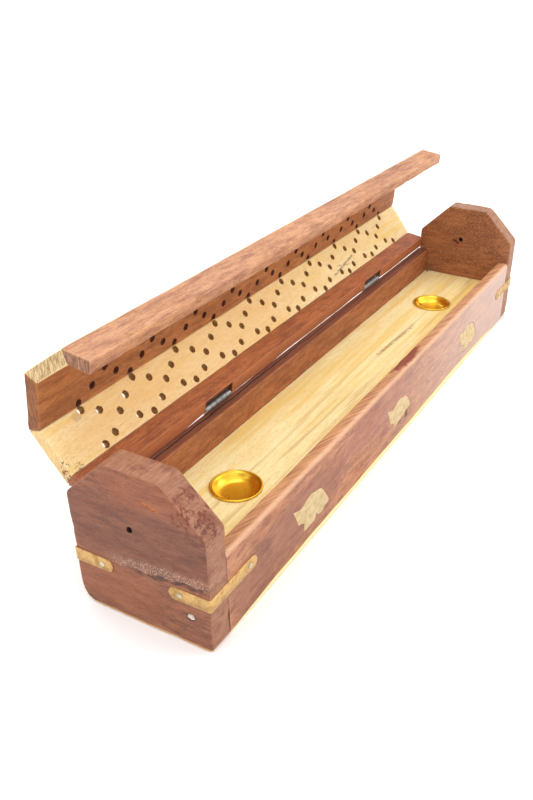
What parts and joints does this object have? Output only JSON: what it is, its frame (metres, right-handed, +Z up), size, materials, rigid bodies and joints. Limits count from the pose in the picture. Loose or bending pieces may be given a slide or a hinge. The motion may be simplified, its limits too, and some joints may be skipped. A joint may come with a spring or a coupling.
{
  "type": "incense burner box",
  "caption": "Long half-octagon wooden incense box with a hinged drilled lid, brass cone cups on a raised shelf, brass corner straps and a sliding storage panel.",
  "frame": {"origin": "middle of the whole object's footprint on the table it stands on, with the lid standing open as at rest", "axes": "+X along the box towards the end the storage panel slides out of, +Y towards the hinges, so -Y faces the user, and +Z up"},
  "size_m": [0.307, 0.0778, 0.0893],
  "materials": {
    "rosewood": "oiled reddish-purple brown hardwood, mottled",
    "reddish_wood": "oiled orange-brown hardwood",
    "pale_wood": "bare pale yellow wood with straight grain",
    "sheet_brass": "thin rolled sheet, lightly tarnished",
    "cup_brass": "bright spun brass",
    "steel": "plain zinc-grey steel",
    "dark_steel": "dark oiled steel wire",
    "filler": "chalky wood filler"
  },
  "bodies": {
    "base": {"left_end_board": "rosewood", "right_end_board": "rosewood", "front_board": "rosewood", "back_board": "reddish_wood", "incense_shelf": "pale_wood", "left_cup": "cup_brass", "right_cup": "cup_brass", "front_left_strap": "sheet_brass", "front_left_side_pin": "steel", "front_left_end_pin": "steel", "front_right_strap": "sheet_brass", "front_right_side_pin": "steel", "front_right_end_pin": "steel", "back_left_strap": "sheet_brass", "back_left_side_pin": "steel", "back_left_end_pin": "steel", "back_right_strap": "sheet_brass", "back_right_side_pin": "steel", "back_right_end_pin": "steel", "left_inlay": "sheet_brass", "middle_inlay": "sheet_brass", "right_inlay": "sheet_brass", "left_filler_plug": "filler", "right_shelf_nail": "dark_steel", "left_hinge_base_leaf": "steel", "left_hinge_pin": "dark_steel", "left_hinge_base_nail_1": "dark_steel", "left_hinge_base_nail_2": "dark_steel", "right_hinge_base_leaf": "steel", "right_hinge_pin": "dark_steel", "right_hinge_base_nail_1": "dark_steel", "right_hinge_base_nail_2": "dark_steel"},
    "lid": {"lid_back_rail": "reddish_wood", "lid_back_slope": "pale_wood", "lid_top_board": "reddish_wood", "lid_front_slope": "pale_wood", "lid_front_rail": "rosewood", "left_hinge_lid_leaf": "steel", "left_hinge_lid_nail_1": "dark_steel", "left_hinge_lid_nail_2": "dark_steel", "right_hinge_lid_leaf": "steel", "right_hinge_lid_nail_1": "dark_steel", "right_hinge_lid_nail_2": "dark_steel"},
    "storage_panel": {"storage_panel": "pale_wood"}
  },
  "joints": [
    {"name": "lid_hinge", "type": "hinge", "parent": "base", "child": "lid", "pos_m": [0, 0.01563, 0.0351], "axis": [-1, 0, 0], "range_deg": [-82, 70]},
    {"name": "storage_panel_slide", "type": "slide", "parent": "base", "child": "storage_panel", "axis": [1, 0, 0], "range_m": [0, 0.24]}
  ]
}
